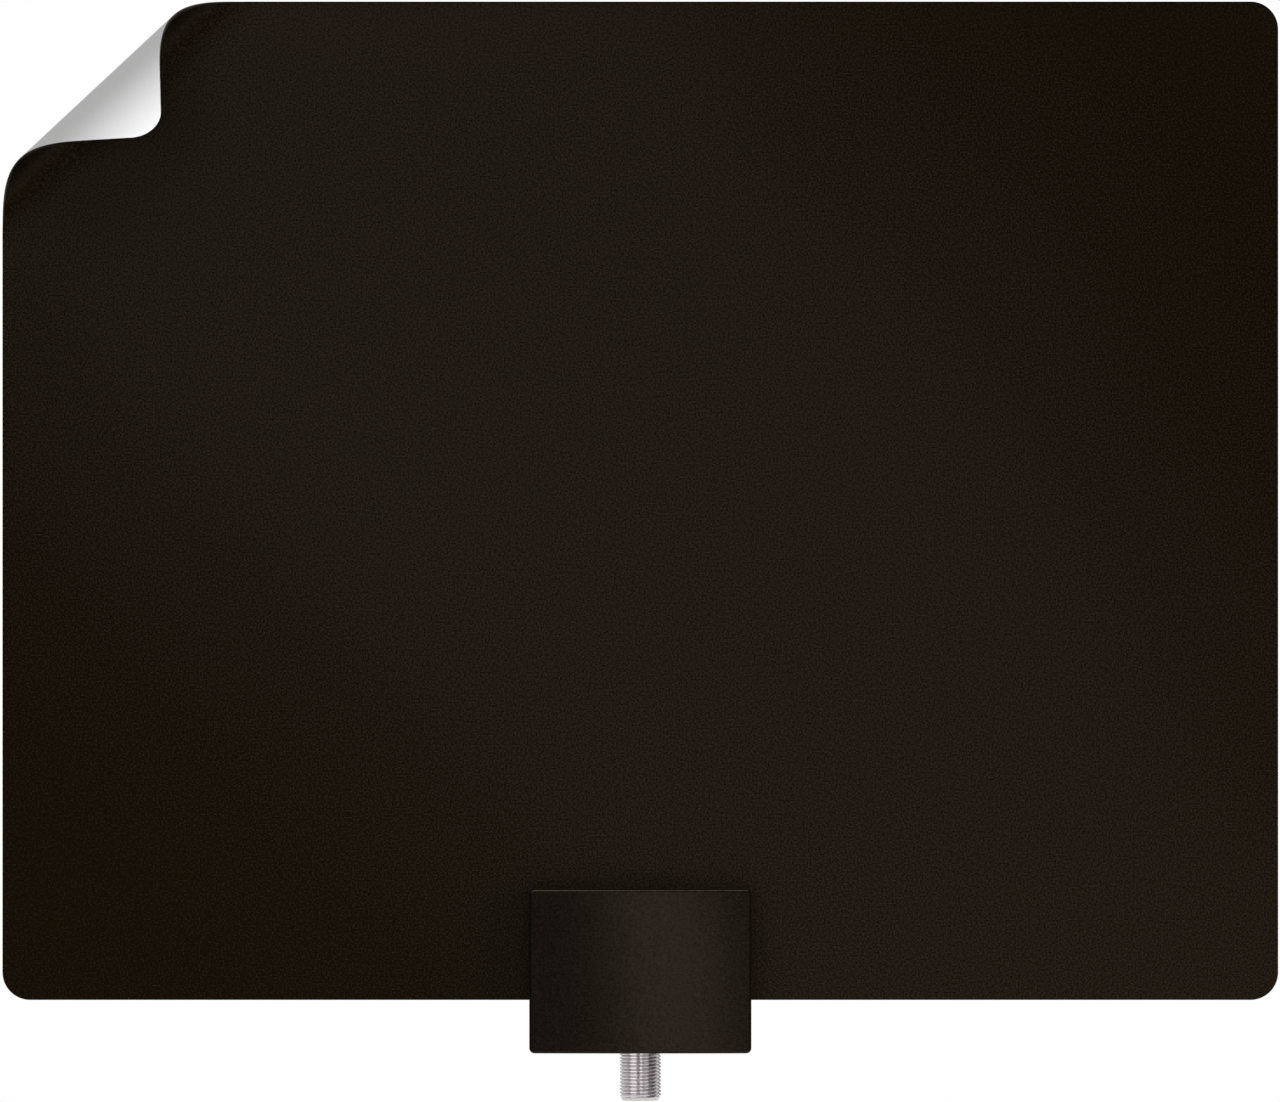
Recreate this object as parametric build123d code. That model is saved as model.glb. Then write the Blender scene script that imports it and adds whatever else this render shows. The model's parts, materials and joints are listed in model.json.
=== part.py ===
"""Flat indoor TV antenna: a laminated sheet with one corner rolled over, gripped by a small
two-part module that carries a threaded coaxial connector.

Millimetres. +X is to the viewer's right, +Z up, and the front faces -Y. The origin is the
middle of the sheet's back face, which is the face that goes on the wall.
"""
from build123d import *
from math import cos, hypot, pi, radians, sin, tan
import os

# Sheet
SHEET_WIDTH = 292.1
SHEET_HEIGHT = 228.6
SHEET_CORNER = 6.35
BACK_FILM = 0.4
FRONT_FILM = 0.4

# Rolled top-left corner
ROLL_SLOPE = 43.0  # degrees, the roll's line above the horizontal
ROLL_RADIUS = 8.9  # to the sheet's back face, which is the outside of the roll
ROLL_WRAP = 165.0  # degrees of turn
FLAP_LENGTH = 12.5  # flat sheet past the roll, up to the corner before it is rounded
ROLL_SKEW = 0.226  # sideways lead of the flap for each millimetre of sheet past the roll
ROLL_STATIONS = 13

# Conductors between the films
FOIL = 0.1
FOIL_MARGIN = 14.0
FOIL_BAND = 20.0
FOIL_GAP = 24.0
FOIL_CLEARANCE = 0.1
TAB_WIDTH = 7.0

# Module
MODULE_WIDTH = 50.8
MODULE_OVERLAP = 25.4  # reach up over the sheet
MODULE_DROP = 12.1  # reach down past the sheet's bottom edge
MODULE_CORNER = 1.2
MODULE_EDGE = 0.5
CAVITY_CORNER = 0.5
CROWN = 1.6  # rise of the front face from its sides to its middle
WALL = 1.5
SHEET_GAP = 0.3  # between the sheet's bottom edge and the module's step
FIT = 0.15  # between the connector and the covers

# Posts that hold the two covers together
POST_RADIUS = 1.3
POST_REACH = 4.6
POST_INSET_X = 4.9
POST_INSET_TOP = 4.7
POST_INSET_BOTTOM = 5.4
BOSS_RADIUS = 2.5
POST_FIT = 0.05
POST_HOLE_FIT = 0.25
SOCKET_DEPTH_FIT = 0.3

# Circuit board and feed rivets
BOARD = 1.0
BOARD_SIDE_GAP = 1.0  # to the posts' bosses
BOARD_TOP_GAP = 4.2  # to the module's top wall
BOARD_OVERHANG = 1.3  # past the sheet's bottom edge
RIVET_RADIUS = 1.2
RIVET_BORE = 0.7
RIVET_HEAD = 2.2
RIVET_HEAD_THICKNESS = 0.45
RIVET_FIT = 0.05
FEED_SPACING = 18.0
FEED_INSET = 4.3  # below the board's top edge

# Matching transformer
CORE_WIDTH = 8.0
CORE_HEIGHT = 6.0
CORE_DEPTH = 4.0
CORE_EDGE = 0.5
CORE_HOLE_SPACING = 3.6
WIRE = 0.4
WIRE_GAP = 0.1
WIRE_FIT = 0.15
WIRE_BEND = 0.7
WIRE_LIFT = 0.5
TURNS = 3

# Connector
THREAD_RADIUS = 4.675
THREAD_LENGTH = 10.9
THREAD_CHAMFER = 0.6
THREAD_CHAMFER_LENGTH = 1.15
BARREL_LIP = 0.775  # width of the flat ring at the barrel's mouth
SHOULDER_RADIUS = 5.0
COLLAR_FLATS = 11.0
COLLAR_LENGTH = 2.5
RIB = 1.5
RIB_WIDTH = 16.0
SLEEVE_WALL = 0.9
SLEEVE_GAP = 1.4  # to the board's bottom edge
LEG = 0.9
LEG_LENGTH = 6.0
INSULATOR_RECESS = 0.5
INSULATOR_FIT = 0.03
CONTACT_BORE = 0.55
CONTACT_WALL = 0.45
CONTACT_BORE_DEPTH = 8.0
CONTACT_SETBACK = 1.2
GUIDE_FIT = 0.25
TAIL_RADIUS = 0.4
TAIL_LENGTH = 8.0

# Places worked out from the sizes above; heights are measured forward from the sheet's back face
SHEET = BACK_FILM + FRONT_FILM
SHEET_BOTTOM = -SHEET_HEIGHT / 2
MODULE_TOP = SHEET_BOTTOM + MODULE_OVERLAP
MODULE_BOTTOM = SHEET_BOTTOM - MODULE_DROP
MODULE_HEIGHT = MODULE_TOP - MODULE_BOTTOM
MODULE_MIDDLE = (MODULE_TOP + MODULE_BOTTOM) / 2
FACE_EDGE = min(MODULE_EDGE, 0.9 * MODULE_CORNER)  # as much as the corners can take
BOARD_FACE = SHEET + BOARD
AXIS = BOARD_FACE + TAIL_RADIUS
FRONT_CEILING = AXIS + COLLAR_FLATS / 2 + FIT
FRONT_DEPTH = FRONT_CEILING + WALL
REAR_FLOOR = AXIS - COLLAR_FLATS / 2 - FIT
REAR_DEPTH = REAR_FLOOR - WALL
CROWN_RADIUS = (MODULE_WIDTH**2 / 4 + CROWN**2) / (2 * CROWN)
COLLAR_BOTTOM = MODULE_BOTTOM + WALL
COLLAR_TOP = COLLAR_BOTTOM + COLLAR_LENGTH
BOARD_TOP = MODULE_TOP - WALL - BOARD_TOP_GAP
BOARD_BOTTOM = SHEET_BOTTOM - BOARD_OVERHANG
SLEEVE_TOP = BOARD_BOTTOM - SLEEVE_GAP
THREAD_END = MODULE_BOTTOM - THREAD_LENGTH
BARREL_BORE = THREAD_RADIUS - THREAD_CHAMFER - BARREL_LIP
SLEEVE_RADIUS = BARREL_BORE + SLEEVE_WALL
CONTACT_RADIUS = CONTACT_BORE + CONTACT_WALL
GUIDE_RADIUS = CONTACT_BORE + GUIDE_FIT
CONTACT_MOUTH = THREAD_END + INSULATOR_RECESS + CONTACT_SETBACK
POST_X = MODULE_WIDTH / 2 - POST_INSET_X
UPPER_POST_Z = MODULE_TOP - POST_INSET_TOP
LOWER_POST_Z = MODULE_BOTTOM + POST_INSET_BOTTOM
BOARD_HALF = POST_X - BOSS_RADIUS - BOARD_SIDE_GAP
FEED_Z = BOARD_TOP - FEED_INSET
TURN_PITCH = WIRE + WIRE_GAP
COIL_DEPTH = TURN_PITCH * (TURNS - 1) + WIRE
CORE_HOLE = hypot(COIL_DEPTH, WIRE) / 2 + WIRE_FIT
UPPER_POSTS = [(side * POST_X, UPPER_POST_Z) for side in (-1, 1)]
LOWER_POSTS = [(side * POST_X, LOWER_POST_Z) for side in (-1, 1)]
FEEDS = [(side * FEED_SPACING / 2, FEED_Z) for side in (-1, 1)]

SLOPE = radians(ROLL_SLOPE)
WRAP = radians(ROLL_WRAP)
ROLL_LENGTH = ROLL_RADIUS * WRAP
ROLL_START = ROLL_LENGTH + FLAP_LENGTH  # from the corner back to the line where the roll begins
CORNER = Vector(-SHEET_WIDTH / 2, SHEET_HEIGHT / 2)
ALONG = Vector(cos(SLOPE), sin(SLOPE))  # along the roll, in the sheet's plane
ACROSS = Vector(-sin(SLOPE), cos(SLOPE))  # towards the corner, in the sheet's plane
BEYOND = 2 * ROLL_START  # reaches past the corner on every side


def facing(height):
    """The plane that lies forward of the sheet's back face, with its sketch seen from the front."""
    return Plane((0, -height, 0), x_dir=(1, 0, 0), z_dir=(0, -1, 0))


def slab(sketch, low, high):
    """A sketch given thickness between two heights."""
    return extrude(facing(low) * sketch, amount=high - low)


def rods(places, radius, low, high):
    """Round bars that stand on the sheet's plane at each place."""
    return slab(Sketch() + [Pos(x, z) * Circle(radius) for x, z in places], low, high)


def upright(profile):
    """A profile of (radius, z) points turned about the connector's axis."""
    section = make_face(Polyline(*[(r, 0, z) for r, z in profile], close=True))
    return Pos(0, -AXIS, 0) * revolve(section, Axis.Z)


def beyond_line(distance):
    """Everything on the corner's side of a line along the roll, this far short of where it begins."""
    middle = CORNER + ACROSS * (BEYOND / 2 - ROLL_START - distance)
    return Pos(middle.X, middle.Y) * Rot(0, 0, ROLL_SLOPE) * Rectangle(4 * BEYOND, BEYOND)


# Sheet
def rolled(along, past, depth):
    """Where a point of the rolled corner lies.

    along is its place along the roll, past its distance past the line where the roll begins,
    both on the flat sheet, and depth its distance forward of the sheet's back face.
    """
    turn = min(past / ROLL_RADIUS, WRAP)
    flat = max(past - ROLL_LENGTH, 0)
    radius = ROLL_RADIUS - depth
    reach = radius * sin(turn) + flat * cos(turn)
    height = ROLL_RADIUS - radius * cos(turn) + flat * sin(turn)
    curved = min(past, ROLL_LENGTH)
    lead = ROLL_SKEW * (curved**2 / (2 * ROLL_LENGTH) + flat)
    spot = CORNER + ALONG * (along + lead) + ACROSS * (reach - ROLL_START)
    return Vector(spot.X, -height, spot.Y)


def edges_at(past):
    """The sheet's left and top edges, as places along the roll at a distance past its start."""
    left = ROLL_START - past
    return -left * tan(SLOPE), left / tan(SLOPE)


def roll(low, high):
    """The curved stretch of one film, between two depths."""
    stations = []
    for step in range(ROLL_STATIONS):
        past = ROLL_LENGTH * step / (ROLL_STATIONS - 1)
        left, top = edges_at(past)
        ring = [(left, low), (top, low), (top, high), (left, high)]
        stations.append(Wire.make_polygon([rolled(along, past, depth) for along, depth in ring]))
    return Solid.make_loft(stations)


def flap(low, high):
    """The flat stretch of one film past the roll, with the sheet's rounded corner."""

    def spot(right, down):
        offset = Vector(right, -down)
        return rolled(offset.dot(ALONG), offset.dot(ACROSS) + ROLL_START, low)

    pull = SHEET_CORNER * (1 - 4 / 3 * tan(pi / 8))  # a quarter circle's control points
    left, top = edges_at(ROLL_LENGTH)
    roll_left = rolled(left, ROLL_LENGTH, low)
    roll_top = rolled(top, ROLL_LENGTH, low)
    arc_top = spot(SHEET_CORNER, 0)
    arc_left = spot(0, SHEET_CORNER)
    outline = [
        Line(roll_left, roll_top),
        Line(roll_top, arc_top),
        Bezier(arc_top, spot(pull, 0), spot(0, pull), arc_left),
        Line(arc_left, roll_left),
    ]
    inward = rolled(left, ROLL_LENGTH, high) - roll_left
    return extrude(make_face(outline), amount=high - low, dir=inward)


def film(low, high):
    """One film of the laminate, flat but for its rolled corner, with its holes."""
    flat = RectangleRounded(SHEET_WIDTH, SHEET_HEIGHT, SHEET_CORNER) - beyond_line(0)
    sheet = slab(flat, low, high) + roll(low, high) + flap(low, high)
    sheet -= rods(UPPER_POSTS, POST_RADIUS + POST_HOLE_FIT, low, high)
    return sheet - rods(FEEDS, RIVET_RADIUS + RIVET_FIT, low, high)


def element(grow=0):
    """The right-hand conductor: a loop that keeps clear of the rolled corner's mirror image."""
    inner = FOIL_GAP / 2
    outer = SHEET_WIDTH / 2 - FOIL_MARGIN
    top = SHEET_HEIGHT / 2 - FOIL_MARGIN
    bottom = MODULE_TOP + FOIL_MARGIN / 2
    plate = Pos((inner + outer) / 2, (top + bottom) / 2) * Rectangle(outer - inner, top - bottom)
    plate -= mirror(beyond_line(FOIL_MARGIN), Plane.YZ)
    feed_x = FEED_SPACING / 2
    tab_end = FEED_Z - TAB_WIDTH / 2
    tab_side = inner + FOIL_BAND
    tab = make_face(
        Polyline(
            (feed_x - TAB_WIDTH / 2, tab_end),
            (feed_x + TAB_WIDTH / 2, tab_end),
            (feed_x + TAB_WIDTH / 2, FEED_Z + TAB_WIDTH / 2),
            (tab_side, bottom + FOIL_BAND / 2),
            (inner, bottom + FOIL_BAND / 2),
            (feed_x - TAB_WIDTH / 2, FEED_Z + TAB_WIDTH / 2),
            close=True,
        )
    )
    loop = plate - offset(plate, -FOIL_BAND, kind=Kind.INTERSECTION) + tab
    return offset(loop, grow, kind=Kind.INTERSECTION) if grow else loop


def laminate():
    """The two films with the conductors sealed between them."""
    loop = element()
    pocket = element(FOIL_CLEARANCE)
    low = BACK_FILM - FOIL
    right = slab(loop, low, BACK_FILM) - rods(FEEDS, RIVET_RADIUS + RIVET_FIT, low, BACK_FILM)
    back = film(0, BACK_FILM)
    back -= slab(pocket, low, BACK_FILM) + slab(mirror(pocket, Plane.YZ), low, BACK_FILM)
    return {
        "front_film": film(BACK_FILM, SHEET),
        "back_film": back,
        "right_element": right,
        "left_element": mirror(right, Plane.YZ),
    }


# Module covers
def module_outline(inset=0):
    """The module seen from the front, or its cavity."""
    shape = Rectangle(MODULE_WIDTH - 2 * inset, MODULE_HEIGHT - 2 * inset)
    rounding = CAVITY_CORNER if inset else MODULE_CORNER
    return Pos(0, MODULE_MIDDLE) * fillet(shape.vertices(), rounding)


def crown(depth):
    """A solid whose front is the module's shallow barrel curve, this high in its middle."""
    axis_height = depth - CROWN_RADIUS
    return Pos(0, -axis_height, MODULE_MIDDLE) * Cylinder(CROWN_RADIUS, 2 * MODULE_HEIGHT)


def connector_holes():
    """The way through the covers for the connector's shoulder, collar and sleeve."""
    collar_fit = COLLAR_TOP + FIT
    steps = [
        (SHOULDER_RADIUS + FIT, MODULE_BOTTOM - WALL, COLLAR_BOTTOM),
        (SLEEVE_RADIUS + FIT, collar_fit, collar_fit + RIB),
    ]
    hole = Part()
    for radius, low, high in steps:
        hole += upright([(0, low), (radius, low), (radius, high), (0, high)])
    return hole


def saddle_rib(low, high):
    """The rib across a cover that keeps the connector's collar against the bottom wall."""
    middle = COLLAR_TOP + FIT + RIB / 2
    return slab(Pos(0, middle) * Rectangle(RIB_WIDTH, RIB), low, high)


def front_cover():
    """The front half: crowned face, rounded edges, sockets for the posts and a step for the sheet."""
    outer = slab(module_outline(), 0, FRONT_DEPTH) & crown(FRONT_DEPTH)
    outer = fillet(outer.faces().sort_by(Axis.Y)[0].edges(), FACE_EDGE)
    posts = UPPER_POSTS + LOWER_POSTS
    cavity = slab(module_outline(WALL), 0, FRONT_CEILING) & crown(FRONT_CEILING)
    cavity -= rods(posts, BOSS_RADIUS, 0, FRONT_DEPTH) + saddle_rib(0, FRONT_DEPTH)
    cover = outer - cavity - connector_holes()
    cover -= rods(posts, POST_RADIUS + POST_FIT, 0, SHEET + POST_REACH + SOCKET_DEPTH_FIT)
    step = SHEET_BOTTOM - SHEET_GAP
    slot = Pos(0, (step + MODULE_TOP + WALL) / 2) * Rectangle(2 * MODULE_WIDTH, MODULE_TOP + WALL - step)
    return cover - slab(slot, 0, SHEET)


def rear_cover():
    """The back half: a flat-backed, bevelled tray with the posts that reach through the sheet."""
    outer = slab(module_outline(), REAR_DEPTH, 0)
    outer = chamfer(outer.faces().sort_by(Axis.Y)[-1].edges(), FACE_EDGE)
    posts = UPPER_POSTS + LOWER_POSTS
    cavity = slab(module_outline(WALL), REAR_FLOOR, 0)
    cavity -= rods(posts, BOSS_RADIUS, REAR_FLOOR, 0) + saddle_rib(REAR_FLOOR, 0)
    cover = outer - cavity - connector_holes()
    return cover + rods(posts, POST_RADIUS, REAR_FLOOR, SHEET + POST_REACH)


# Circuit board, rivets and transformer
def circuit_board():
    """The board on the sheet's front face, a little past its bottom edge, with the rivets' holes."""
    shape = Rectangle(2 * BOARD_HALF, BOARD_TOP - BOARD_BOTTOM)
    board = slab(Pos(0, (BOARD_TOP + BOARD_BOTTOM) / 2) * shape, SHEET, BOARD_FACE)
    return board - rods(FEEDS, RIVET_RADIUS + RIVET_FIT, SHEET, BOARD_FACE)


def feed_rivet(place):
    """A hollow rivet through the sheet, one conductor and the board."""
    rear = rods([place], RIVET_HEAD, -RIVET_HEAD_THICKNESS, 0)
    front = rods([place], RIVET_HEAD, BOARD_FACE, BOARD_FACE + RIVET_HEAD_THICKNESS)
    low = -RIVET_HEAD_THICKNESS
    high = BOARD_FACE + RIVET_HEAD_THICKNESS
    shank = rods([place], RIVET_RADIUS, low, high)
    return rear + front + shank - rods([place], RIVET_BORE, low, high)


def balun():
    """The two-hole core on the board and the turns of wire through its holes."""
    centre = Vector(0, -(BOARD_FACE + CORE_DEPTH / 2), FEED_Z)
    core = Box(CORE_WIDTH, CORE_DEPTH, CORE_HEIGHT)
    core = fillet(core.edges().filter_by(Axis.Z), CORE_EDGE)
    for side in (-1, 1):
        core -= Pos(side * CORE_HOLE_SPACING / 2, 0, 0) * Cylinder(CORE_HOLE, CORE_HEIGHT)
    length = CORE_HEIGHT + 2 * WIRE_LIFT
    loop = RectangleRounded(CORE_HOLE_SPACING + WIRE, length + 2 * WIRE, WIRE_BEND + WIRE)
    loop -= RectangleRounded(CORE_HOLE_SPACING - WIRE, length, WIRE_BEND)
    first = BOARD_FACE + (CORE_DEPTH - COIL_DEPTH) / 2
    turns = []
    for turn in range(TURNS):
        low = first + turn * TURN_PITCH
        turns.append(slab(Pos(0, FEED_Z) * loop, low, low + WIRE))
    return {"balun_core": Pos(centre) * core, "balun_winding": Compound(turns)}


# Connector
def connector():
    """The barrel with its collar and solder legs, the insulator inside it and the centre contact."""
    barrel = upright(
        [
            (BARREL_BORE, THREAD_END),
            (THREAD_RADIUS - THREAD_CHAMFER, THREAD_END),
            (THREAD_RADIUS, THREAD_END + THREAD_CHAMFER_LENGTH),
            (THREAD_RADIUS, MODULE_BOTTOM),
            (SHOULDER_RADIUS, MODULE_BOTTOM),
            (SHOULDER_RADIUS, COLLAR_TOP),
            (SLEEVE_RADIUS, COLLAR_TOP),
            (SLEEVE_RADIUS, SLEEVE_TOP),
            (BARREL_BORE, SLEEVE_TOP),
        ]
    )
    hexagon = RegularPolygon(COLLAR_FLATS / 2, 6, major_radius=False) - Circle(BARREL_BORE)
    barrel += Pos(0, -AXIS, COLLAR_BOTTOM) * extrude(hexagon, amount=COLLAR_LENGTH)
    leg_x = (BARREL_BORE + SLEEVE_RADIUS) / 2
    leg_shape = Rectangle(LEG, LEG_LENGTH)
    legs = [Pos(side * leg_x, SLEEVE_TOP + LEG_LENGTH / 2) * leg_shape for side in (-1, 1)]
    barrel += slab(Sketch() + legs, BOARD_FACE, BOARD_FACE + LEG)
    face = THREAD_END + INSULATOR_RECESS
    contact_fit = CONTACT_RADIUS + INSULATOR_FIT
    insulator = upright(
        [
            (GUIDE_RADIUS, face),
            (BARREL_BORE - INSULATOR_FIT, face),
            (BARREL_BORE - INSULATOR_FIT, SLEEVE_TOP),
            (contact_fit, SLEEVE_TOP),
            (contact_fit, CONTACT_MOUTH),
            (GUIDE_RADIUS, CONTACT_MOUTH),
        ]
    )
    bore_end = CONTACT_MOUTH + CONTACT_BORE_DEPTH
    contact = upright(
        [
            (CONTACT_BORE, CONTACT_MOUTH),
            (CONTACT_RADIUS, CONTACT_MOUTH),
            (CONTACT_RADIUS, SLEEVE_TOP),
            (TAIL_RADIUS, SLEEVE_TOP),
            (TAIL_RADIUS, SLEEVE_TOP + TAIL_LENGTH),
            (0, SLEEVE_TOP + TAIL_LENGTH),
            (0, bore_end),
            (CONTACT_BORE, bore_end),
        ]
    )
    return {"connector_barrel": barrel, "connector_insulator": insulator, "center_contact": contact}


def antenna():
    """Every piece by name."""
    pieces = laminate()
    pieces["front_cover"] = front_cover()
    pieces["rear_cover"] = rear_cover()
    pieces["circuit_board"] = circuit_board()
    for side, place in zip(("left", "right"), FEEDS):
        pieces[f"{side}_feed_rivet"] = feed_rivet(place)
    pieces.update(balun())
    pieces.update(connector())
    return pieces


os.makedirs("parts", exist_ok=True)
for name, piece in antenna().items():
    export_step(piece, f"parts/{name}.step")
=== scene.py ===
import json
from math import cos, pi, radians, sin, sqrt, tan

import bmesh
import bpy
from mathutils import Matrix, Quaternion, Vector


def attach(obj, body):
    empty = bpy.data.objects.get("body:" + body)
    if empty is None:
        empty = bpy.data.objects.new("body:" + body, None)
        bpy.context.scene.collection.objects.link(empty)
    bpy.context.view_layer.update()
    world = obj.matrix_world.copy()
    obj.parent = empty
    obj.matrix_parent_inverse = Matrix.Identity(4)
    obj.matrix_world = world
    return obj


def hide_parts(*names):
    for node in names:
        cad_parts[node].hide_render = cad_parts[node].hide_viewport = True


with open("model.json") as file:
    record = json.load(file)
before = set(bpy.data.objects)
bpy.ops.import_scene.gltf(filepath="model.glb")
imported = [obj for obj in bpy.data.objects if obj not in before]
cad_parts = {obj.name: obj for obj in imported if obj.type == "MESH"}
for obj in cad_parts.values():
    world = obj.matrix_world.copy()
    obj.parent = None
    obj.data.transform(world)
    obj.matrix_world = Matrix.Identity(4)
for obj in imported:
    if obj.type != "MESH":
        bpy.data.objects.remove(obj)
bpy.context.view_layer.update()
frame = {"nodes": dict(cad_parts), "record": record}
nodes = frame["nodes"]
scene = bpy.context.scene
scene.view_settings.view_transform = "Standard"

# The object's sizes are the solids' own, in millimetres; its front faces -Y, and depths run forward from
# the sheet's back face
MM = 0.001

# Sheet
SHEET_WIDTH = 292.1
SHEET_HEIGHT = 228.6
SHEET_CORNER = 6.35
BACK_FILM = 0.4
FRONT_FILM = 0.4
SHEET = BACK_FILM + FRONT_FILM
SHEET_BOTTOM = -SHEET_HEIGHT / 2

# Rolled top-left corner
ROLL_SLOPE = radians(43.0)  # the roll's line above the horizontal
ROLL_RADIUS = 8.9  # to the sheet's back face, which is the outside of the roll
ROLL_WRAP = radians(165.0)
FLAP_LENGTH = 12.5  # sheet past the roll, up to the corner before it is rounded
ROLL_SKEW = 0.226  # sideways lead of the flap for each millimetre of sheet past the roll
CURL_REACH = 16.2  # the flap curls on a quarter ellipse, from the roll's outline to its tip
CURL_RISE = 11.1
ROLL_LENGTH = ROLL_RADIUS * ROLL_WRAP
ROLL_START = ROLL_LENGTH + FLAP_LENGTH  # from the corner back to the line where the roll begins
CORNER = Vector((-SHEET_WIDTH / 2, SHEET_HEIGHT / 2))
ALONG = Vector((cos(ROLL_SLOPE), sin(ROLL_SLOPE)))  # along the roll, in the sheet's plane
ACROSS = Vector((-sin(ROLL_SLOPE), cos(ROLL_SLOPE)))  # towards the corner, in the sheet's plane

# Module
MODULE_WIDTH = 50.8
MODULE_OVERLAP = 25.4  # reach up over the sheet
MODULE_DROP = 12.1  # reach down past the sheet's bottom edge
CROWN = 1.6  # rise of the front face from its sides to its middle
WALL = 1.5
FIT = 0.15  # between the connector and the covers
MODULE_TOP = SHEET_BOTTOM + MODULE_OVERLAP
MODULE_BOTTOM = SHEET_BOTTOM - MODULE_DROP

# Board, and the holes for the posts and the feed rivets
BOARD = 1.0
BOARD_TOP_GAP = 4.2  # to the module's top wall
BOARD_OVERHANG = 1.3  # past the sheet's bottom edge
POST_HOLE = 1.55
POST_INSET_X = 4.9
POST_INSET_TOP = 4.7
FEED_HOLE = 1.25
FEED_SPACING = 18.0
FEED_INSET = 4.3  # below the board's top edge
POST_X = MODULE_WIDTH / 2 - POST_INSET_X
FEED_X = FEED_SPACING / 2
FEED_Z = MODULE_TOP - WALL - BOARD_TOP_GAP - FEED_INSET
POSTS = [(side * POST_X, MODULE_TOP - POST_INSET_TOP) for side in (-1, 1)]
FEEDS = [(side * FEED_X, FEED_Z) for side in (-1, 1)]

# Foils between the films
FOIL = 0.1
FOIL_MARGIN = 14.0
FOIL_BAND = 20.0
FOIL_GAP = 24.0
FOIL_CLEARANCE = 0.1
TAB_WIDTH = 7.0

# Connector
THREAD_RADIUS = 4.675
THREAD_LENGTH = 10.9
THREAD_PITCH = 25.4 / 32
THREAD_DEPTH = 0.43
THREAD_ROOT = 0.06  # share of the pitch that is flat at the bottom of the thread
CHAMFER = 0.6
CHAMFER_LENGTH = 1.15
LIP = 0.775  # width of the flat ring at the barrel's mouth
SHOULDER_RADIUS = 5.0
COLLAR_FLATS = 11.0
COLLAR_LENGTH = 2.5
SLEEVE_WALL = 0.9
SLEEVE_GAP = 1.4  # to the board's bottom edge
LEG = 0.9
LEG_LENGTH = 6.0
TAIL_RADIUS = 0.4
BOARD_FACE = SHEET + BOARD
AXIS = BOARD_FACE + TAIL_RADIUS
THREAD_END = MODULE_BOTTOM - THREAD_LENGTH
COLLAR_BOTTOM = MODULE_BOTTOM + WALL
COLLAR_TOP = COLLAR_BOTTOM + COLLAR_LENGTH
SLEEVE_TOP = SHEET_BOTTOM - BOARD_OVERHANG - SLEEVE_GAP
BORE_RADIUS = THREAD_RADIUS - CHAMFER - LIP
SLEEVE_RADIUS = BORE_RADIUS + SLEEVE_WALL
LEG_X = (BORE_RADIUS + SLEEVE_RADIUS) / 2
FACE_SIDE_DEPTH = AXIS + COLLAR_FLATS / 2 + FIT + WALL - CROWN  # the module's front face, at its sides

# Fineness of the meshes
CORNER_STEPS = 24
HOLE_STEPS = 32
ROLL_CUTS = 24
FLAP_CUTS = 56
CUT_SPREAD = 1.5  # the flap's cuts lie closer together near the roll
CUT_SNAP = 1e-4
TANGENT_STEP = 0.02
BARREL_COLUMNS = 120
WELD = 1e-7  # metres
FILM_SHARP = radians(40)
BARREL_SHARP = radians(50)


# Node helpers
class Nodes:
    """Short calls for the nodes of one tree."""

    def __init__(self, tree):
        self.tree = tree

    def feed(self, socket, value):
        """Links a socket, or sets it where the value is a constant."""
        if isinstance(value, bpy.types.NodeSocket):
            self.tree.links.new(value, socket)
        else:
            socket.default_value = value

    def node(self, kind, inputs=None, **settings):
        made = self.tree.nodes.new(kind)
        for key, value in settings.items():
            setattr(made, key, value)
        for key, value in (inputs or {}).items():
            self.feed(made.inputs[key], value)
        return made

    def math(self, operation, first, second=0.0):
        return self.node("ShaderNodeMath", {0: first, 1: second}, operation=operation).outputs[0]

    def ramp(self, factor, stops):
        """A colour ramp from (place, colour) stops."""
        made = self.node("ShaderNodeValToRGB", {"Fac": factor})
        elements = made.color_ramp.elements
        while len(elements) < len(stops):
            elements.new(0.5)
        for element, (place, colour) in zip(elements, stops):
            element.position = place
            element.color = (*colour, 1.0)
        return made.outputs["Color"]

    def smooth(self, value, start, end, low=0.0, high=1.0):
        """Goes from low to high as the value goes from start to end, and stays level outside."""
        inputs = {"Value": value, "From Min": start, "From Max": end, "To Min": low, "To Max": high}
        return self.node("ShaderNodeMapRange", inputs, interpolation_type="SMOOTHSTEP").outputs["Result"]

    def either(self, share, first, second):
        """The first shader, giving way to the second as the share goes to 1."""
        return self.node("ShaderNodeMixShader", {0: share, 1: first, 2: second}).outputs[0]


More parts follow.
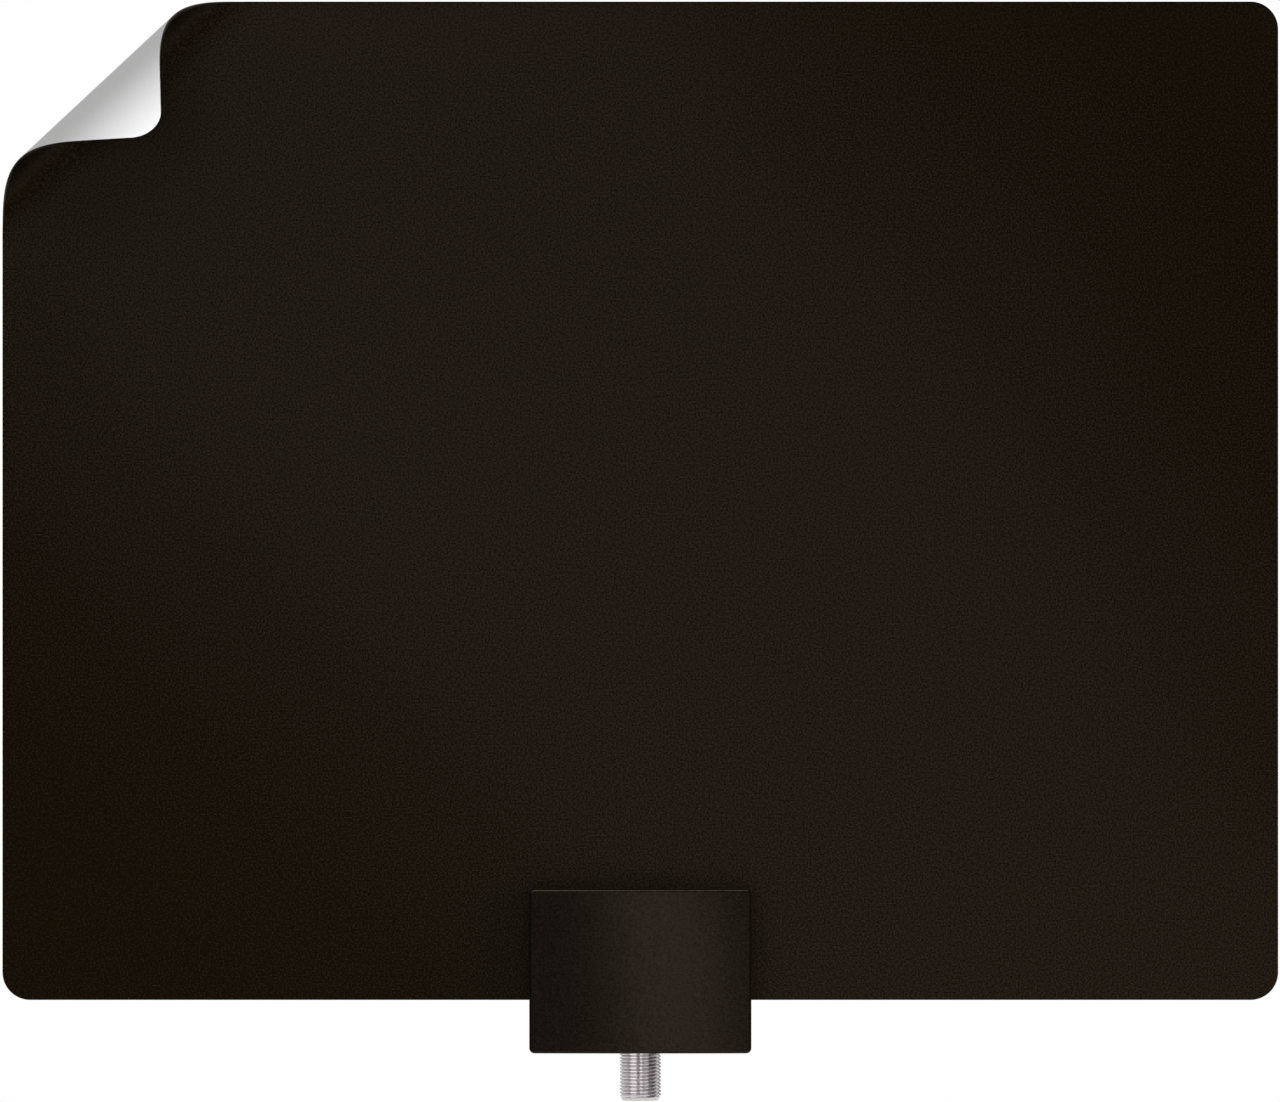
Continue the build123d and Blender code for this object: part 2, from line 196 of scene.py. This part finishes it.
class Shader(Nodes):
    """A material with a Principled shader, and short calls for the nodes in front of it."""

    def __init__(self, name, **values):
        self.material = bpy.data.materials.new(name)
        self.material.use_nodes = True
        super().__init__(self.material.node_tree)
        self.principled = self.tree.nodes["Principled BSDF"]
        for socket, value in values.items():
            self.set(socket.replace("_", " "), value)
        self.place = self.node("ShaderNodeTexCoord").outputs["Object"]

    def set(self, socket, value):
        self.feed(self.principled.inputs[socket], value)

    def noise(self, scale, detail=2.0, roughness=0.5):
        """Noise from 0 to 1, with its scale in features to the metre."""
        inputs = {"Vector": self.place, "Scale": scale, "Detail": detail, "Roughness": roughness}
        return self.node("ShaderNodeTexNoise", inputs).outputs["Fac"]

    def span(self, factor, low, high):
        """Goes evenly from low to high as the factor goes from 0 to 1."""
        inputs = {"Value": factor, "To Min": low, "To Max": high}
        return self.node("ShaderNodeMapRange", inputs).outputs["Result"]

    def average(self, first, second, share=0.5):
        """The two values mixed, with this share of the first."""
        parts = self.math("MULTIPLY", first, share), self.math("MULTIPLY", second, 1 - share)
        return self.math("ADD", *parts)

    def mix(self, factor, first, second):
        """Two colours mixed; a Mix node's colour sockets have no names of their own, only numbers."""
        return self.node("ShaderNodeMix", {0: factor, 6: first, 7: second}, data_type="RGBA").outputs[2]

    def along(self, direction):
        """Distance from the origin along a direction, in metres."""
        made = self.node("ShaderNodeVectorMath", {0: self.place, 1: direction}, operation="DOT_PRODUCT")
        return made.outputs["Value"]

    def aside(self, direction):
        """Distance from the origin along a direction, to either side."""
        return self.math("ABSOLUTE", self.along(direction))

    def fade(self, distance, start, end, most=1.0):
        """From 0 to most as a distance goes from start to end, which are in millimetres."""
        return self.smooth(distance, start * MM, end * MM, 0.0, most)

    def bump(self, height, strength, distance):
        """Relief whose full height is a distance in millimetres."""
        inputs = {"Height": height, "Strength": strength, "Distance": distance * MM}
        self.set("Normal", self.node("ShaderNodeBump", inputs).outputs["Normal"])


# Materials
def black_film():
    """Black film with a fine grain, with painted shade towards two corners and past the bend, and darker
    lower down.
    """
    shader = Shader("black_film", Specular_IOR_Level=0.29)
    grain = shader.noise(2500, detail=1.0)
    drift = shader.span(shader.noise(7), -30 * MM, 30 * MM)
    far = shader.math("ADD", shader.aside((0.80, 0.0, 0.60)), drift)
    bend = shader.along((ACROSS.x, 0.0, ACROSS.y))
    bend_start = CORNER.dot(ACROSS) - ROLL_START
    # Painted shade: darker towards two corners, leaving a lighter diagonal band that stands in for sheen,
    # and past the bend, where the flap shades it
    corners = shader.fade(far, 40, 160, most=0.15)
    bent = shader.fade(bend, bend_start - 5, bend_start + 5, most=0.15)
    lower = shader.fade(shader.along((0, 0, -1)), -20, 115, most=0.04)
    painted_shade_and_lower_tone = shader.math("ADD", shader.math("ADD", corners, bent), lower)
    mixed = shader.math("SUBTRACT", grain, painted_shade_and_lower_tone)
    dark, light = (0.0010, 0.0005, 0.0001), (0.0055, 0.0034, 0.0013)
    shader.set("Base Color", shader.ramp(mixed, [(0.28, dark), (0.68, light)]))
    dark, light = (0.34, 0.225, 0.075), (1.0, 0.79, 0.70)
    # The painted shade dims the sheen's tint as well
    shader.set("Specular Tint", shader.ramp(mixed, [(0.32, dark), (0.64, light)]))
    shader.set("Roughness", shader.span(grain, 0.36, 0.52))
    shader.bump(grain, strength=0.3, distance=0.1)
    return shader.material


def white_film():
    """White film whose cut edge is painted near-black, as painted shade in place of a lit white edge."""
    shader = Shader("white_film", Specular_IOR_Level=0.25)
    grain = shader.noise(2200, roughness=0.6)
    mixed = shader.average(grain, shader.noise(9))
    face = shader.ramp(mixed, [(0.3, (0.795, 0.795, 0.80)), (0.7, (0.835, 0.835, 0.84))])
    # Painted shade: the cut edge gets a near-black colour, so that it does not show as a lit white line
    cut = shader.ramp(grain, [(0.3, (0.010, 0.009, 0.008)), (0.7, (0.018, 0.016, 0.014))])
    edge = shader.node("ShaderNodeAttribute", attribute_name="cut_edge").outputs["Fac"]
    shader.set("Base Color", shader.mix(edge, face, cut))
    shader.set("Roughness", shader.span(grain, 0.45, 0.6))
    shader.bump(grain, strength=0.12, distance=0.05)
    return shader.material


def black_housing():
    """Moulded black plastic, matt along the parting line, with its sheen taken off the side edges of the
    front as painted shade.
    """
    shader = Shader("black_housing", Specular_IOR_Level=0.3)
    spark = shader.noise(2200, roughness=0.6)
    mixed = shader.average(spark, shader.noise(30), share=0.8)
    dark, light = (0.0015, 0.0008, 0.0004), (0.0035, 0.0021, 0.0011)
    shader.set("Base Color", shader.ramp(mixed, [(0.3, dark), (0.7, light)]))
    off_parting = shader.fade(shader.aside((0, 1, 0)), 0.04, 0.18)
    # Painted shade: the front's side edges lose their sheen, so that they stay dark instead of showing a
    # highlight
    side, face = MODULE_WIDTH / 2, FACE_SIDE_DEPTH
    sides = shader.fade(shader.aside((1, 0, 0)), side - 0.6, side - 0.3)
    front = shader.fade(shader.along((0, -1, 0)), face - 0.95, face - 0.55)
    edges = shader.math("MULTIPLY", sides, front)
    gloss = shader.math("MULTIPLY", mixed, shader.math("SUBTRACT", off_parting, edges))
    matt, dark, light = (0, 0, 0), (0.61, 0.435, 0.30), (0.93, 0.735, 0.575)
    shader.set("Specular Tint", shader.ramp(gloss, [(0.0, matt), (0.38, dark), (0.60, light)]))
    shader.set("Roughness", shader.span(spark, 0.15, 0.24))
    shader.bump(spark, strength=0.15, distance=0.1)
    return shader.material


def metal(name, dark, light, rough, scale, relief=0.05):
    """Bare metal between two tones, with its mean roughness and the scale of its grain."""
    shader = Shader(name, Metallic=1.0)
    grain = shader.noise(scale, detail=3.0, roughness=0.6)
    shader.set("Base Color", shader.ramp(grain, [(0.3, dark), (0.7, light)]))
    shader.set("Roughness", shader.span(grain, rough - 0.05, rough + 0.08))
    shader.bump(grain, strength=relief, distance=0.03)
    return shader.material


def plain(name, dark, light, rough, scale):
    """A plain moulded or coated surface, told in the same way."""
    shader = Shader(name, Specular_IOR_Level=0.5)
    grain = shader.noise(scale, detail=3.0, roughness=0.6)
    shader.set("Base Color", shader.ramp(grain, [(0.3, dark), (0.7, light)]))
    shader.set("Roughness", shader.span(grain, rough - 0.08, rough + 0.08))
    shader.bump(grain, strength=0.1, distance=0.05)
    return shader.material


MATERIALS = {
    "black_film": black_film(),
    "white_film": white_film(),
    "black_housing": black_housing(),
    "nickel": metal("nickel", (0.64, 0.605, 0.615), (0.76, 0.72, 0.735), 0.15, scale=1500, relief=0.02),
    "foil": metal("foil", (0.68, 0.68, 0.69), (0.8, 0.8, 0.81), 0.3, scale=400),
    "brass": metal("brass", (0.62, 0.44, 0.17), (0.76, 0.58, 0.27), 0.25, scale=1500),
    "copper_wire": metal("copper_wire", (0.5, 0.2, 0.08), (0.66, 0.3, 0.13), 0.3, scale=1500),
    "board": plain("board", (0.016, 0.10, 0.042), (0.026, 0.15, 0.062), 0.35, scale=900),
    "ferrite": plain("ferrite", (0.04, 0.04, 0.045), (0.065, 0.065, 0.07), 0.65, scale=1800),
    "insulator": plain("insulator", (0.72, 0.71, 0.67), (0.8, 0.79, 0.76), 0.45, scale=1200),
}


# Pieces
def add_piece(name, points, faces, sharp, slot, node, cut_from=None):
    """A new piece from points in millimetres, which stands for one of the solids.

    Edges sharper than the angle sharp stay crisp, and faces from cut_from on are a sheet's cut edge.
    """
    mesh = bpy.data.meshes.new(name)
    mesh.from_pydata([Vector(p) * MM for p in points], [], faces)
    if cut_from is not None:
        cut = mesh.attributes.new("cut_edge", "FLOAT", "FACE")
        cut.data.foreach_set("value", [float(i >= cut_from) for i in range(len(faces))])
    mesh.validate()
    bm = bmesh.new()
    bm.from_mesh(mesh)
    bmesh.ops.delete(bm, geom=[v for v in bm.verts if not v.link_faces], context="VERTS")
    bmesh.ops.remove_doubles(bm, verts=bm.verts, dist=WELD)
    bmesh.ops.recalc_face_normals(bm, faces=bm.faces)
    bm.to_mesh(mesh)
    bm.free()
    mesh.polygons.foreach_set("use_smooth", [True] * len(mesh.polygons))
    mesh.set_sharp_from_angle(angle=sharp)
    mesh.materials.append(MATERIALS[slot])
    piece = bpy.data.objects.new(name, mesh)
    scene.collection.objects.link(piece)
    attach(piece, "root")
    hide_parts(node)


# Films
def rolled_line(past):
    """The back face's (reach, height) at a distance past the line where the roll begins."""
    turn = min(past / ROLL_RADIUS, ROLL_WRAP)
    flat = max(past - ROLL_LENGTH, 0.0)
    reach = ROLL_RADIUS * sin(turn) + flat * cos(turn)
    if turn <= pi / 2:
        return Vector((reach, ROLL_RADIUS - ROLL_RADIUS * cos(turn)))
    left = 1 - (ROLL_RADIUS - reach) / CURL_REACH
    return Vector((reach, ROLL_RADIUS + CURL_RISE * sqrt(max(0.0, 1 - left * left))))


def rolled(x, z, depth):
    """Where a point of the flat sheet lies once its corner is rolled, depth forward of its back face."""
    offset = Vector((x, z)) - CORNER
    past = offset.dot(ACROSS) + ROLL_START
    if past <= 0:
        return Vector((x, -depth, z))
    before = rolled_line(max(past - TANGENT_STEP, 0.0))
    tangent = (rolled_line(past + TANGENT_STEP) - before).normalized()
    place = rolled_line(past) + Vector((-tangent.y, tangent.x)) * depth
    curved = min(past, ROLL_LENGTH)
    lead = ROLL_SKEW * (curved**2 / (2 * ROLL_LENGTH) + max(past - ROLL_LENGTH, 0.0))
    spot = CORNER + ALONG * (offset.dot(ALONG) + lead) + ACROSS * (place.x - ROLL_START)
    return Vector((spot.x, -place.y, spot.y))


def meeting(spot, along, other_spot, other_along):
    """Where two lines in the sheet's plane cross."""
    return spot + along * ((other_spot - spot).cross(other_along) / along.cross(other_along))


def grown(loop, amount):
    """A loop of corners, counter-clockwise, with each side moved outwards."""
    sides = []
    for spot, following in zip(loop, loop[1:] + loop[:1]):
        along = (following - spot).normalized()
        sides.append((spot + Vector((along.y, -along.x)) * amount, along))
    return [meeting(*before, *after) for before, after in zip(sides[-1:] + sides[:-1], sides)]


def foil_pocket():
    """The hollow that the right-hand foil lies in: the loops round its outside and round its inside."""
    inner, outer = FOIL_GAP / 2, SHEET_WIDTH / 2 - FOIL_MARGIN
    top, bottom = SHEET_HEIGHT / 2 - FOIL_MARGIN, MODULE_TOP + FOIL_MARGIN / 2
    right, up = Vector((1, 0)), Vector((0, 1))
    # The foil's top corner is cut off along the mirror image of the roll's line
    roll_line = CORNER - ACROSS * (ROLL_START + FOIL_MARGIN)
    cut, cut_along = Vector((-roll_line.x, roll_line.y)), Vector((-ALONG.x, ALONG.y))
    plate = [
        Vector((inner, bottom)),
        Vector((outer, bottom)),
        meeting(cut, cut_along, Vector((outer, bottom)), up),
        meeting(cut, cut_along, Vector((inner, top)), right),
        Vector((inner, top)),
    ]
    # The tab from the foil's bottom corner to its feed rivet
    tab_left, tab_right = FEED_X - TAB_WIDTH / 2, FEED_X + TAB_WIDTH / 2
    tab_low, tab_high = FEED_Z - TAB_WIDTH / 2, FEED_Z + TAB_WIDTH / 2
    tab_root = bottom + FOIL_BAND / 2
    waist = Vector((tab_right, tab_high))
    slant = Vector((inner + FOIL_BAND, tab_root)) - waist
    outline = [
        Vector((tab_left, tab_low)),
        Vector((tab_right, tab_low)),
        waist,
        meeting(waist, slant, plate[0], right),
        *plate[1:],
        Vector((inner, tab_root)),
        Vector((tab_left, tab_high)),
    ]
    return [grown(outline, FOIL_CLEARANCE), grown(plate, -FOIL_BAND - FOIL_CLEARANCE)]


def arc(centre, radius, angles):
    return [(centre[0] + radius * cos(angle), centre[1] + radius * sin(angle)) for angle in angles]


def holes(places, radius):
    """Round loops at the places of the posts or rivets."""
    angles = [2 * pi * step / HOLE_STEPS for step in range(HOLE_STEPS)]
    return [arc(place, radius, angles) for place in places]


def sheet_outline():
    """The flat sheet's edge with its four rounded corners, counter-clockwise from the right."""
    half_x = SHEET_WIDTH / 2 - SHEET_CORNER
    half_z = SHEET_HEIGHT / 2 - SHEET_CORNER
    outline = []
    for quarter, (side, end) in enumerate(((1, 1), (-1, 1), (-1, -1), (1, -1))):
        angles = [pi / 2 * (quarter + step / CORNER_STEPS) for step in range(CORNER_STEPS + 1)]
        outline += arc((side * half_x, end * half_z), SHEET_CORNER, angles)
    return outline


def ring_edges(bm, loops):
    """New edges round each loop of (x, z) corners."""
    edges = []
    for loop in loops:
        corners = [bm.verts.new((x, 0, z)) for x, z in loop]
        edges += [bm.edges.new(pair) for pair in zip(corners, corners[1:] + corners[:1])]
    return edges


def cut_along_roll(bm):
    """Cuts the flat film along lines of the roll, so that it can bend there."""
    quarter = ROLL_RADIUS * pi / 2
    cuts = [quarter * step / ROLL_CUTS for step in range(ROLL_CUTS)]
    shares = [(step / FLAP_CUTS) ** CUT_SPREAD for step in range(FLAP_CUTS)]
    cuts += [quarter + (ROLL_START - quarter) * share for share in shares]
    for past in cuts:
        spot = CORNER + ACROSS * (past - ROLL_START)
        bmesh.ops.bisect_plane(
            bm,
            geom=bm.verts[:] + bm.edges[:] + bm.faces[:],
            dist=CUT_SNAP,
            plane_co=(spot.x, 0, spot.y),
            plane_no=(ACROSS.x, 0, ACROSS.y),
        )


def film(node, slot, low, high, pockets=()):
    """One film of the laminate, between two depths: cut flat, then bent at the roll."""
    bm = bmesh.new()
    rims = ring_edges(bm, [sheet_outline()] + holes(POSTS, POST_HOLE))
    feeds = ring_edges(bm, holes(FEEDS, FEED_HOLE))
    hollows = ring_edges(bm, pockets)
    # A face's material index is 1 on a pocket's floor, which the feed holes go through where there is one
    regions = [rims + hollows, hollows + feeds] if hollows else [rims + feeds]
    for sunk, edges in enumerate(regions):
        filled = bmesh.ops.triangle_fill(bm, use_beauty=True, edges=edges, normal=(0, -1, 0))
        for made in filled["geom"]:
            if isinstance(made, bmesh.types.BMFace):
                made.material_index = sunk
    cut_along_roll(bm)
    bm.verts.index_update()
    flat = [(v.co.x, v.co.z) for v in bm.verts]
    layer = len(flat)
    # Three layers of points: the back, the front and the pockets' floors
    points = [rolled(x, z, depth) for depth in (low, high, high - FOIL) for x, z in flat]
    faces = []
    for face in bm.faces:
        ring = [v.index for v in face.verts]
        faces += [ring[::-1], [i + (1 + face.material_index) * layer for i in ring]]
    cut_from = len(faces)
    # Walls stand along the edges where the faces on the two sides lie on different layers
    for edge in bm.edges:
        a, b = (v.index for v in edge.verts)
        layers = [1 + face.material_index for face in edge.link_faces]
        if len(layers) == 1:
            layers.append(0)
        if layers[0] != layers[1]:
            first, second = (number * layer for number in layers)
            faces.append([a + first, b + first, b + second, a + second])
    bm.free()
    add_piece(f"{node}_sheet", points, faces, FILM_SHARP, slot, node, cut_from)


right_pocket = foil_pocket()
left_pocket = [[(-x, z) for x, z in loop] for loop in right_pocket]
film("front_film", "black_film", BACK_FILM, SHEET)
film("back_film", "white_film", 0.0, BACK_FILM, right_pocket + left_pocket)


# Connector barrel
ANGLES = [2 * pi * column / BARREL_COLUMNS for column in range(BARREL_COLUMNS + 1)]
FLANK = THREAD_DEPTH / tan(radians(60)) / THREAD_PITCH
# One pitch of the thread, (share of the pitch, share of its depth): root, flank, crest, flank
THREAD_PROFILE = [
    (0.0, 0.0),
    (THREAD_ROOT, 0.0),
    (THREAD_ROOT + FLANK / 2, 0.5),
    (THREAD_ROOT + FLANK, 1.0),
    (0.5 + THREAD_ROOT / 2, 1.0),
    (1 - FLANK, 1.0),
    (1 - FLANK / 2, 0.5),
    (1.0, 0.0),
]


def thread_radius(angle, z):
    """The thread's surface on a right-hand helix, cut down to the chamfer at its end."""
    phase = ((z - THREAD_END) / THREAD_PITCH - angle / (2 * pi)) % 1.0
    for (start, low), (stop, high) in zip(THREAD_PROFILE, THREAD_PROFILE[1:]):
        if start <= phase <= stop:
            share = low + (high - low) * (phase - start) / (stop - start)
    end = THREAD_RADIUS - CHAMFER + CHAMFER * (z - THREAD_END) / CHAMFER_LENGTH
    return min(THREAD_RADIUS - THREAD_DEPTH * (1 - share), end)


def thread_row(heights):
    return [thread_radius(angle, z) for angle, z in zip(ANGLES, heights)]


def hexagon_radius(angle):
    """The collar's surface, with a flat at the front."""
    return COLLAR_FLATS / 2 / cos((angle + pi / 6) % (pi / 3) - pi / 6)


def barrel():
    """The threaded barrel with its collar and sleeve, and its two solder legs."""
    points, faces = [], []

    def add_row(radii, heights):
        for angle, radius, z in zip(ANGLES, radii, heights):
            points.append((radius * sin(angle), -AXIS - radius * cos(angle), z))

    def join_rows(first, count):
        """Quads between rows of points, apart from those that an end has flattened to nothing."""
        width = len(ANGLES)
        for row in range(count - 1):
            for column in range(BARREL_COLUMNS):
                a = first + row * width + column
                quad = [a, a + 1, a + 1 + width, a + width]
                if len({points[i] for i in quad}) > 2:
                    faces.append(quad)

    # The thread's rows climb one pitch each turn and are held between its two ends
    turns = int(THREAD_LENGTH / THREAD_PITCH) + 2
    climbs = [turn + share for turn in range(-1, turns) for share, _ in THREAD_PROFILE[:-1]]
    for climb in climbs:
        heights = [THREAD_END + THREAD_PITCH * (climb + angle / (2 * pi)) for angle in ANGLES]
        heights = [min(max(z, THREAD_END), MODULE_BOTTOM) for z in heights]
        add_row(thread_row(heights), heights)
    join_rows(0, len(climbs))

    # The rest of the surface, ring by ring from the thread's top over the sleeve and down the bore
    def level(value):
        return [value] * len(ANGLES)

    collar = [hexagon_radius(angle) for angle in ANGLES]
    rings = [
        (thread_row(level(MODULE_BOTTOM)), MODULE_BOTTOM),
        (level(SHOULDER_RADIUS), MODULE_BOTTOM),
        (level(SHOULDER_RADIUS), COLLAR_BOTTOM),
        (collar, COLLAR_BOTTOM),
        (collar, COLLAR_TOP),
        (level(SLEEVE_RADIUS), COLLAR_TOP),
        (level(SLEEVE_RADIUS), SLEEVE_TOP),
        (level(BORE_RADIUS), SLEEVE_TOP),
        (level(BORE_RADIUS), THREAD_END),
        (thread_row(level(THREAD_END)), THREAD_END),
    ]
    first = len(points)
    for radii, z in rings:
        add_row(radii, level(z))
    join_rows(first, len(rings))

    # Square solder legs, which stand on the board
    for side in (-1, 1):
        start = len(points)
        for z in (SLEEVE_TOP, SLEEVE_TOP + LEG_LENGTH):
            for dx, depth in ((-1, 0), (1, 0), (1, 1), (-1, 1)):
                points.append((side * LEG_X + dx * LEG / 2, -BOARD_FACE - depth * LEG, z))
        faces.append([start + i for i in (3, 2, 1, 0)])
        faces.append([start + i for i in (4, 5, 6, 7)])
        for i in range(4):
            after = (i + 1) % 4
            faces.append([start + i, start + after, start + after + 4, start + i + 4])
    add_piece("threaded_barrel", points, faces, BARREL_SHARP, "nickel", "connector_barrel")


barrel()

# Each solid gets the finish of its slot
SLOTS = {row["node"]: row["material_slot"] for row in frame["record"]["subparts"]}
for name, node in nodes.items():
    node.data.materials.clear()
    node.data.materials.append(MATERIALS[SLOTS[name]])

# Camera, square on from far away
PICTURE_WIDTH = 293.13  # millimetres across the picture, at the sheet
PICTURE_X, PICTURE_Z = -0.07, -11.51  # the picture's centre, in millimetres
CAMERA_DISTANCE = 5000
SENSOR = 36.0
camera_data = bpy.data.cameras.new("camera")
camera_data.sensor_width = SENSOR
camera_data.lens = SENSOR * CAMERA_DISTANCE / PICTURE_WIDTH
camera_data.clip_end = 10 * CAMERA_DISTANCE * MM
camera = bpy.data.objects.new("camera", camera_data)
camera.location = (PICTURE_X * MM, -CAMERA_DISTANCE * MM, PICTURE_Z * MM)
camera.rotation_euler = (pi / 2, 0, 0)
scene.collection.objects.link(camera)
scene.camera = camera


# Light, with places and sizes in metres
def softbox(name, place, target, size, power, roll=0.0):
    """A rectangular lamp that faces its target, turned about its own axis by roll."""
    data = bpy.data.lights.new(name, "AREA")
    data.shape = "RECTANGLE"
    data.size, data.size_y = size
    data.energy = power
    lamp = bpy.data.objects.new(name, data)
    lamp.location = place
    direction = Vector(target) - Vector(place)
    lamp.rotation_mode = "QUATERNION"
    lamp.rotation_quaternion = direction.to_track_quat("-Z", "Y") @ Quaternion((0, 0, 1), roll)
    lamp.visible_camera = False
    scene.collection.objects.link(lamp)
    return lamp


MIDDLE = (0, 0, 0)
STRIP_X = -0.064
# The key and the back lamp light the object, and the strip and the top lamp show only as its sheen
key = softbox("key", (2.0, -0.93, 0.1), MIDDLE, (1.1, 1.1), power=103)
strip = softbox("strip", (STRIP_X, -1.0, 0), (STRIP_X, 0, 0), (0.164, 0.9), power=0.66, roll=radians(50))
top = softbox("top", (0.0, -0.55, 0.95), MIDDLE, (1.2, 0.45), power=8.0)
back = softbox("back", (0.8, 2.0, 0.3), MIDDLE, (1.4, 1.4), power=24)
key.visible_glossy = back.visible_glossy = False
strip.visible_diffuse = top.visible_diffuse = False


class Stage(Nodes):
    """The nodes of the world or of the floor, whose tree starts out empty.

    seen is 1 for rays of the camera and through glass, and shown also for those that gloss throws back.
    """

    def __init__(self, tree):
        super().__init__(tree)
        tree.nodes.clear()
        path = self.node("ShaderNodeLightPath").outputs
        self.seen = self.math("MAXIMUM", path["Is Camera Ray"], path["Is Transmission Ray"])
        self.shown = self.math("MAXIMUM", self.seen, path["Is Glossy Ray"])


# World: white where it is seen. Glossy surfaces see bands round the object, which are dimmer low down:
# (degrees to the right of the front, brightness)
AMBIENT = 0.5
STUDIO = [
    (-180, 0.05), (-172, 0.4), (-148, 0.4), (-140, 0.9), (-128, 0.85), (-84, 0.8), (-79, 0.5), (-62, 0.5),
    (-58, 1.4), (-24, 1.4), (-20, 0.25), (-15, 0.2), (-11, 0.14), (-1, 0.12), (3, 0.02), (16, 0.02),
    (20, 0.65), (42, 0.6), (46, 0.8), (50, 0.0), (102, 0.0), (108, 0.8), (138, 0.8), (146, 0.05),
    (180, 0.05),
]
world = bpy.data.worlds.new("studio")
scene.world = world
world.use_nodes = True
studio = Stage(world.node_tree)
towards = studio.node("ShaderNodeTexCoord").outputs["Generated"]
direction = studio.node("ShaderNodeSeparateXYZ", {0: towards}).outputs
bearing = studio.math("ARCTAN2", direction["X"], studio.math("MULTIPLY", direction["Y"], -1.0))
turn = studio.math("ADD", studio.math("DIVIDE", bearing, 2 * pi), 0.5)
bands = studio.ramp(turn, [(degrees / 360 + 0.5, (level, level, level)) for degrees, level in STUDIO])
dimmed = studio.math("MULTIPLY", bands, studio.smooth(direction["Z"], -0.40, -0.06, 0.08, 1.0))
bright = studio.math("MAXIMUM", dimmed, studio.seen)
surround = studio.node("ShaderNodeBackground", {"Color": bright, "Strength": 1.0}).outputs[0]
ambient = studio.node("ShaderNodeBackground", {"Color": (1, 0.99, 0.98, 1), "Strength": AMBIENT}).outputs[0]
studio.node("ShaderNodeOutputWorld", {"Surface": studio.either(studio.shown, ambient, surround)})

# Floor, in metres: pale, clear from below, and faded out into the background
FLOOR_Z = -0.150
FLOOR_HALF = 0.6
FADE_START, FADE_END = 0.26, 0.46
LIFT = 0.6  # how far the seen floor is lifted to the background's white
floor_mesh = bpy.data.meshes.new("floor")
corners = [(x * FLOOR_HALF, y * FLOOR_HALF, FLOOR_Z) for x, y in ((-1, -1), (1, -1), (1, 1), (-1, 1))]
floor_mesh.from_pydata(corners, [], [[0, 1, 2, 3]])
floor = bpy.data.objects.new("floor", floor_mesh)
scene.collection.objects.link(floor)
pale = bpy.data.materials.new("floor")
pale.use_nodes = True
floor_mesh.materials.append(pale)
ground = Stage(pale.node_tree)
spot = ground.node("ShaderNodeTexCoord").outputs["Object"]
distance = ground.node("ShaderNodeVectorMath", {0: spot}, operation="LENGTH").outputs["Value"]
below = ground.node("ShaderNodeNewGeometry").outputs["Backfacing"]
hidden = ground.math("MAXIMUM", ground.smooth(distance, FADE_START, FADE_END), below)
matte = ground.node("ShaderNodeBsdfDiffuse", {"Color": (0.9, 0.9, 0.9, 1)}).outputs[0]
white = ground.node("ShaderNodeEmission", {"Color": (1, 1, 1, 1), "Strength": 1.0}).outputs[0]
clear = ground.node("ShaderNodeBsdfTransparent").outputs[0]
lifted = ground.either(ground.math("MULTIPLY", ground.shown, LIFT), matte, white)
ground.node("ShaderNodeOutputMaterial", {"Surface": ground.either(hidden, lifted, clear)})
